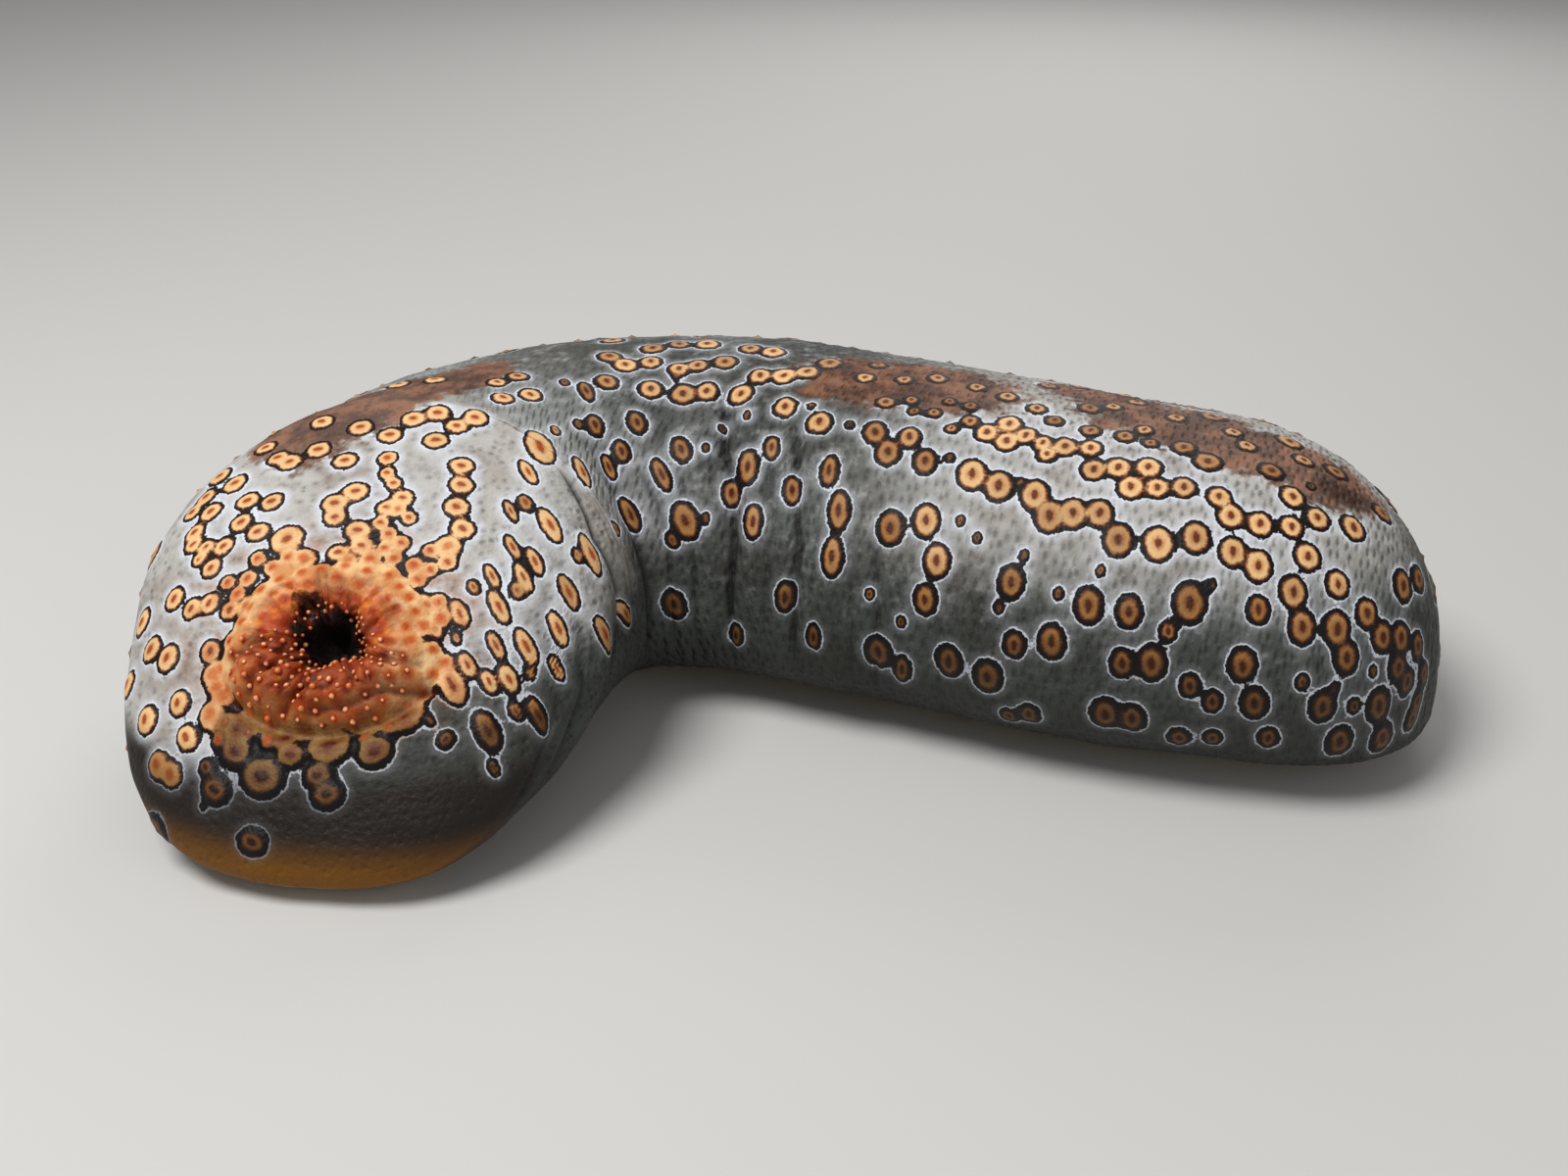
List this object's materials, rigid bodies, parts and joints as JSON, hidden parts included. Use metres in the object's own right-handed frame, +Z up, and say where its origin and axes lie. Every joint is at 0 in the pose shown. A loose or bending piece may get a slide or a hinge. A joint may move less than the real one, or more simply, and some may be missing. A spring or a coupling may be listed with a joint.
{
  "type": "leopard sea cucumber",
  "caption": "Life-size still model of a spotted sea cucumber lying bent on its tube feet, with anal collar and mouth tentacles.",
  "frame": {"origin": "on the floor under the middle of the animal's box", "axes": "+X towards the head limb, +Y away from the side seen in the picture, +Z up"},
  "size_m": [0.3081, 0.1861, 0.0769],
  "materials": {
    "skin": "moist pitted skin, pale grey with ringed spots",
    "sole": "smooth moist skin, pale buff",
    "collar": "fleshy, moist, orange",
    "tentacle": "moist, dark brown"
  },
  "bodies": {
    "root": {"tail_end": "skin", "rear_body": "skin", "middle_body": "skin", "front_body": "skin", "head_end": "skin", "sole_tail": "sole", "sole_rear": "sole", "sole_middle": "sole", "sole_front": "sole", "sole_head": "sole", "anal_collar": "collar", "tentacle_crown": "tentacle"}
  },
  "joints": []
}
